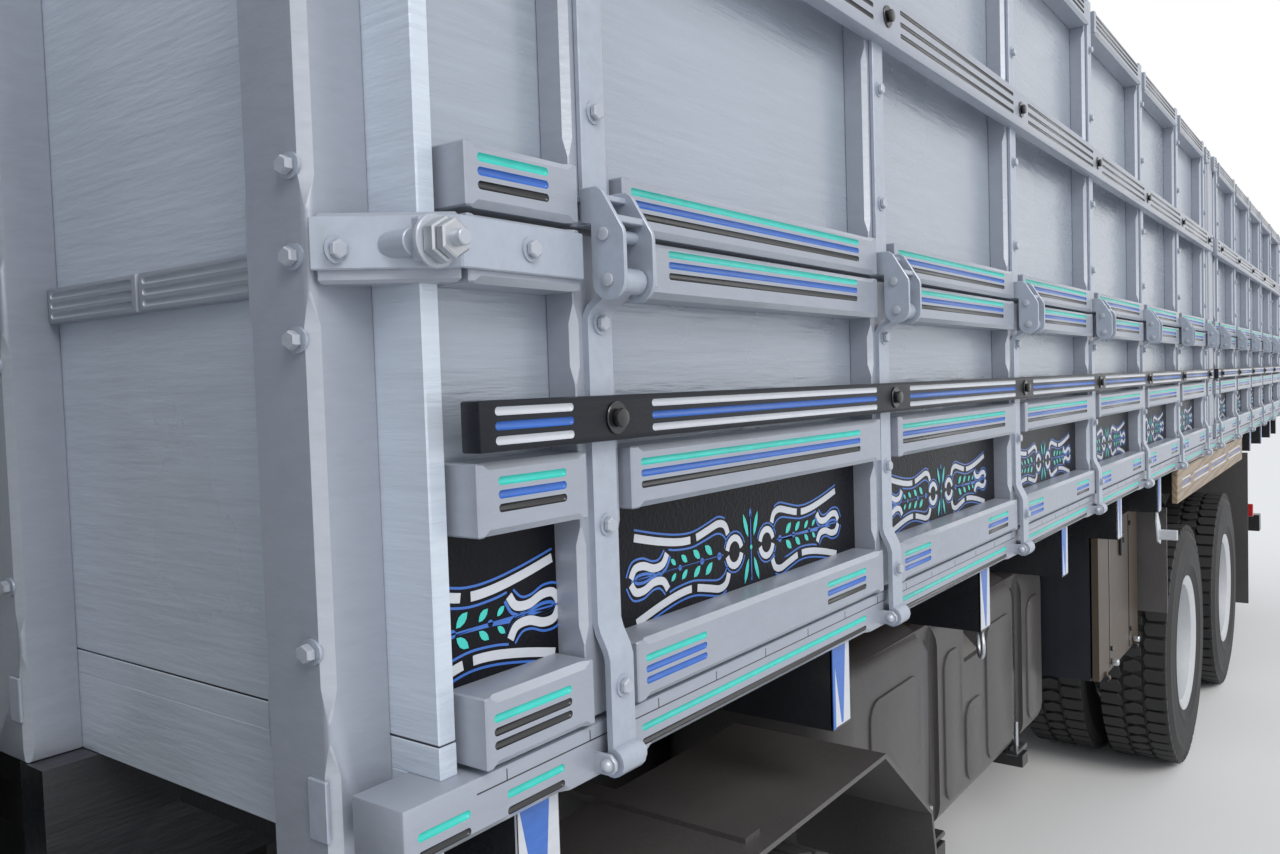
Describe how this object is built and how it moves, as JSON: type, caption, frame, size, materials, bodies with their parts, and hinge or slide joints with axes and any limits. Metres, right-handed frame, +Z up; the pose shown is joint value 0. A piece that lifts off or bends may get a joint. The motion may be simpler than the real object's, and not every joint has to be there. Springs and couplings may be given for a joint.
{
  "type": "four-axle stake-body grain truck",
  "caption": "Rigid cab-over truck with two steered axles, a twin-tyred tandem and a high timber grain body with folding gates.",
  "frame": {"origin": "on the ground, below the middle of the whole truck's length and width", "axes": "+X forwards along the truck, +Y to its left, +Z up"},
  "size_m": [11.511, 2.672, 3],
  "materials": {
    "black_timber": "gloss black paint on timber",
    "bumper_paint": "satin grey",
    "cab_paint": "gloss white",
    "cab_plastic": "grained",
    "chassis_black": "satin chassis black",
    "deck_wood": "oiled hardwood planks",
    "engine_iron": "cast and painted",
    "glass": "lightly tinted",
    "guard_plastic": "satin",
    "lamp_glass": "clear and red lenses",
    "locker_flap": "metallic beige",
    "locker_steel": "dark blue-black",
    "seat_fabric": "woven dark grey",
    "silver_paint": "semi-gloss silver-grey brush paint",
    "skirt_wood": "varnished wood with painted stripes",
    "strap_steel": "satin black",
    "tank_plastic": "moulded, satin",
    "tyre": "matt rubber",
    "wheel_paint": "silver-white wheel paint"
  },
  "bodies": {
    "chassis": {"axles": "chassis_black", "body_brackets": "chassis_black", "bumper": "bumper_paint", "chassis_frame": "chassis_black", "cross_members": "chassis_black", "cross_timbers": "black_timber", "deck_boards": "deck_wood", "engine": "engine_iron", "fuel_tanks": "tank_plastic", "head_posts": "silver_paint", "headboard": "silver_paint", "lamps": "lamp_glass", "leaf_springs": "chassis_black", "locker": "locker_steel", "long_timbers": "black_timber", "mudguards": "guard_plastic", "rim_timbers": "silver_paint", "skirt_boards": "skirt_wood", "stake_posts": "silver_paint", "tank_straps": "strap_steel"},
    "cab": {"cab_floor": "cab_paint", "cab_roof": "cab_paint", "cab_back": "cab_paint", "cab_front": "cab_paint", "windscreen": "glass", "seats": "seat_fabric"},
    "door_left": {"cab_door_left": "cab_paint"},
    "door_right": {"cab_door_right": "cab_paint"},
    "steering_wheel": {"steering_wheel": "cab_plastic"},
    "flap": {"locker_flap": "locker_flap"},
    "knuckle_1_left": {"knuckle_1_left": "chassis_black"},
    "wheel_1_left": {"rim_1_left": "wheel_paint", "tyre_1_left": "tyre"},
    "knuckle_1_right": {"knuckle_1_right": "chassis_black"},
    "wheel_1_right": {"rim_1_right": "wheel_paint", "tyre_1_right": "tyre"},
    "knuckle_2_left": {"knuckle_2_left": "chassis_black"},
    "wheel_2_left": {"rim_2_left": "wheel_paint", "tyre_2_left": "tyre"},
    "knuckle_2_right": {"knuckle_2_right": "chassis_black"},
    "wheel_2_right": {"rim_2_right": "wheel_paint", "tyre_2_right": "tyre"},
    "wheel_3_left": {"rim_3_left": "wheel_paint", "tyre_3_left": "tyre"},
    "wheel_3_right": {"rim_3_right": "wheel_paint", "tyre_3_right": "tyre"},
    "wheel_4_left": {"rim_4_left": "wheel_paint", "tyre_4_left": "tyre"},
    "wheel_4_right": {"rim_4_right": "wheel_paint", "tyre_4_right": "tyre"},
    "lower_gate_front_left": {"lower_gate_front_left": "silver_paint"},
    "upper_gate_front_left": {"upper_gate_front_left": "silver_paint"},
    "lower_gate_front_right": {"lower_gate_front_right": "silver_paint"},
    "upper_gate_front_right": {"upper_gate_front_right": "silver_paint"},
    "lower_gate_rear_left": {"lower_gate_rear_left": "silver_paint"},
    "upper_gate_rear_left": {"upper_gate_rear_left": "silver_paint"},
    "lower_gate_rear_right": {"lower_gate_rear_right": "silver_paint"},
    "upper_gate_rear_right": {"upper_gate_rear_right": "silver_paint"},
    "tail_gate_lower": {"tail_gate_lower": "silver_paint"},
    "tail_gate_upper": {"tail_gate_upper": "silver_paint"}
  },
  "joints": [
    {"name": "cab_tilt", "type": "hinge", "parent": "chassis", "child": "cab", "pos_m": [5.5255, 0, 1.085], "axis": [0, 1, 0], "range_deg": [0, 50]},
    {"name": "door_left_hinge", "type": "hinge", "parent": "cab", "child": "door_left", "pos_m": [5.4325, 1.238, 1.575], "axis": [0, 0, -1], "range_deg": [0, 70]},
    {"name": "door_right_hinge", "type": "hinge", "parent": "cab", "child": "door_right", "pos_m": [5.4325, -1.238, 1.575], "axis": [0, 0, 1], "range_deg": [0, 70]},
    {"name": "steering_wheel_turn", "type": "hinge", "parent": "cab", "child": "steering_wheel", "pos_m": [5.1355, 0.62, 1.96], "axis": [-0.5, 0, 0.866], "range_deg": [-620, 620]},
    {"name": "locker_flap_hinge", "type": "hinge", "parent": "chassis", "child": "flap", "pos_m": [-0.4495, 1.128, 0.654], "axis": [1, 0, 0], "range_deg": [-90, 0]},
    {"name": "steer_1_left", "type": "hinge", "parent": "chassis", "child": "knuckle_1_left", "pos_m": [4.3055, 0.905, 0.522], "axis": [0, 0, 1], "range_deg": [-38, 38]},
    {"name": "wheel_1_left_roll", "type": "hinge", "parent": "knuckle_1_left", "child": "wheel_1_left", "pos_m": [4.3055, 1.075, 0.522], "axis": [0, 1, 0], "continuous": true},
    {"name": "steer_1_right", "type": "hinge", "parent": "chassis", "child": "knuckle_1_right", "pos_m": [4.3055, -0.905, 0.522], "axis": [0, 0, 1], "range_deg": [-38, 38]},
    {"name": "wheel_1_right_roll", "type": "hinge", "parent": "knuckle_1_right", "child": "wheel_1_right", "pos_m": [4.3055, -1.075, 0.522], "axis": [0, 1, 0], "continuous": true},
    {"name": "steer_2_left", "type": "hinge", "parent": "chassis", "child": "knuckle_2_left", "pos_m": [2.4055, 0.905, 0.522], "axis": [0, 0, 1], "range_deg": [-30, 30]},
    {"name": "wheel_2_left_roll", "type": "hinge", "parent": "knuckle_2_left", "child": "wheel_2_left", "pos_m": [2.4055, 1.075, 0.522], "axis": [0, 1, 0], "continuous": true},
    {"name": "steer_2_right", "type": "hinge", "parent": "chassis", "child": "knuckle_2_right", "pos_m": [2.4055, -0.905, 0.522], "axis": [0, 0, 1], "range_deg": [-30, 30]},
    {"name": "wheel_2_right_roll", "type": "hinge", "parent": "knuckle_2_right", "child": "wheel_2_right", "pos_m": [2.4055, -1.075, 0.522], "axis": [0, 1, 0], "continuous": true},
    {"name": "wheel_3_left_roll", "type": "hinge", "parent": "chassis", "child": "wheel_3_left", "pos_m": [-1.3945, 1.08, 0.522], "axis": [0, 1, 0], "continuous": true},
    {"name": "wheel_3_right_roll", "type": "hinge", "parent": "chassis", "child": "wheel_3_right", "pos_m": [-1.3945, -1.08, 0.522], "axis": [0, 1, 0], "continuous": true},
    {"name": "wheel_4_left_roll", "type": "hinge", "parent": "chassis", "child": "wheel_4_left", "pos_m": [-2.7435, 1.08, 0.522], "axis": [0, 1, 0], "continuous": true},
    {"name": "wheel_4_right_roll", "type": "hinge", "parent": "chassis", "child": "wheel_4_right", "pos_m": [-2.7435, -1.08, 0.522], "axis": [0, 1, 0], "continuous": true},
    {"name": "lower_gate_front_left_hinge", "type": "hinge", "parent": "chassis", "child": "lower_gate_front_left", "pos_m": [0.7055, 1.295, 1.368], "axis": [-1, 0, 0], "range_deg": [0, 160]},
    {"name": "upper_gate_front_left_hinge", "type": "hinge", "parent": "lower_gate_front_left", "child": "upper_gate_front_left", "pos_m": [0.7055, 1.316, 1.845], "axis": [1, 0, 0], "range_deg": [-170, 0]},
    {"name": "lower_gate_front_right_hinge", "type": "hinge", "parent": "chassis", "child": "lower_gate_front_right", "pos_m": [0.7055, -1.295, 1.368], "axis": [1, 0, 0], "range_deg": [0, 160]},
    {"name": "upper_gate_front_right_hinge", "type": "hinge", "parent": "lower_gate_front_right", "child": "upper_gate_front_right", "pos_m": [0.7055, -1.316, 1.845], "axis": [-1, 0, 0], "range_deg": [-170, 0]},
    {"name": "lower_gate_rear_left_hinge", "type": "hinge", "parent": "chassis", "child": "lower_gate_rear_left", "pos_m": [-3.6445, 1.295, 1.368], "axis": [-1, 0, 0], "range_deg": [0, 160]},
    {"name": "upper_gate_rear_left_hinge", "type": "hinge", "parent": "lower_gate_rear_left", "child": "upper_gate_rear_left", "pos_m": [-3.6445, 1.316, 1.845], "axis": [1, 0, 0], "range_deg": [-170, 0]},
    {"name": "lower_gate_rear_right_hinge", "type": "hinge", "parent": "chassis", "child": "lower_gate_rear_right", "pos_m": [-3.6445, -1.295, 1.368], "axis": [1, 0, 0], "range_deg": [0, 160]},
    {"name": "upper_gate_rear_right_hinge", "type": "hinge", "parent": "lower_gate_rear_right", "child": "upper_gate_rear_right", "pos_m": [-3.6445, -1.316, 1.845], "axis": [-1, 0, 0], "range_deg": [-170, 0]},
    {"name": "tail_gate_lower_hinge", "type": "hinge", "parent": "chassis", "child": "tail_gate_lower", "pos_m": [-5.7145, 0, 1.368], "axis": [0, -1, 0], "range_deg": [0, 160]},
    {"name": "tail_gate_upper_hinge", "type": "hinge", "parent": "tail_gate_lower", "child": "tail_gate_upper", "pos_m": [-5.7355, 0, 1.845], "axis": [0, 1, 0], "range_deg": [-170, 0]}
  ],
  "couplings": [
    {"joint": "steer_1_right", "follows": "steer_1_left", "ratio": 1},
    {"joint": "steer_2_left", "follows": "steer_1_left", "ratio": 0.75},
    {"joint": "steer_2_right", "follows": "steer_1_left", "ratio": 0.75},
    {"joint": "steering_wheel_turn", "follows": "steer_1_left", "ratio": 16}
  ]
}
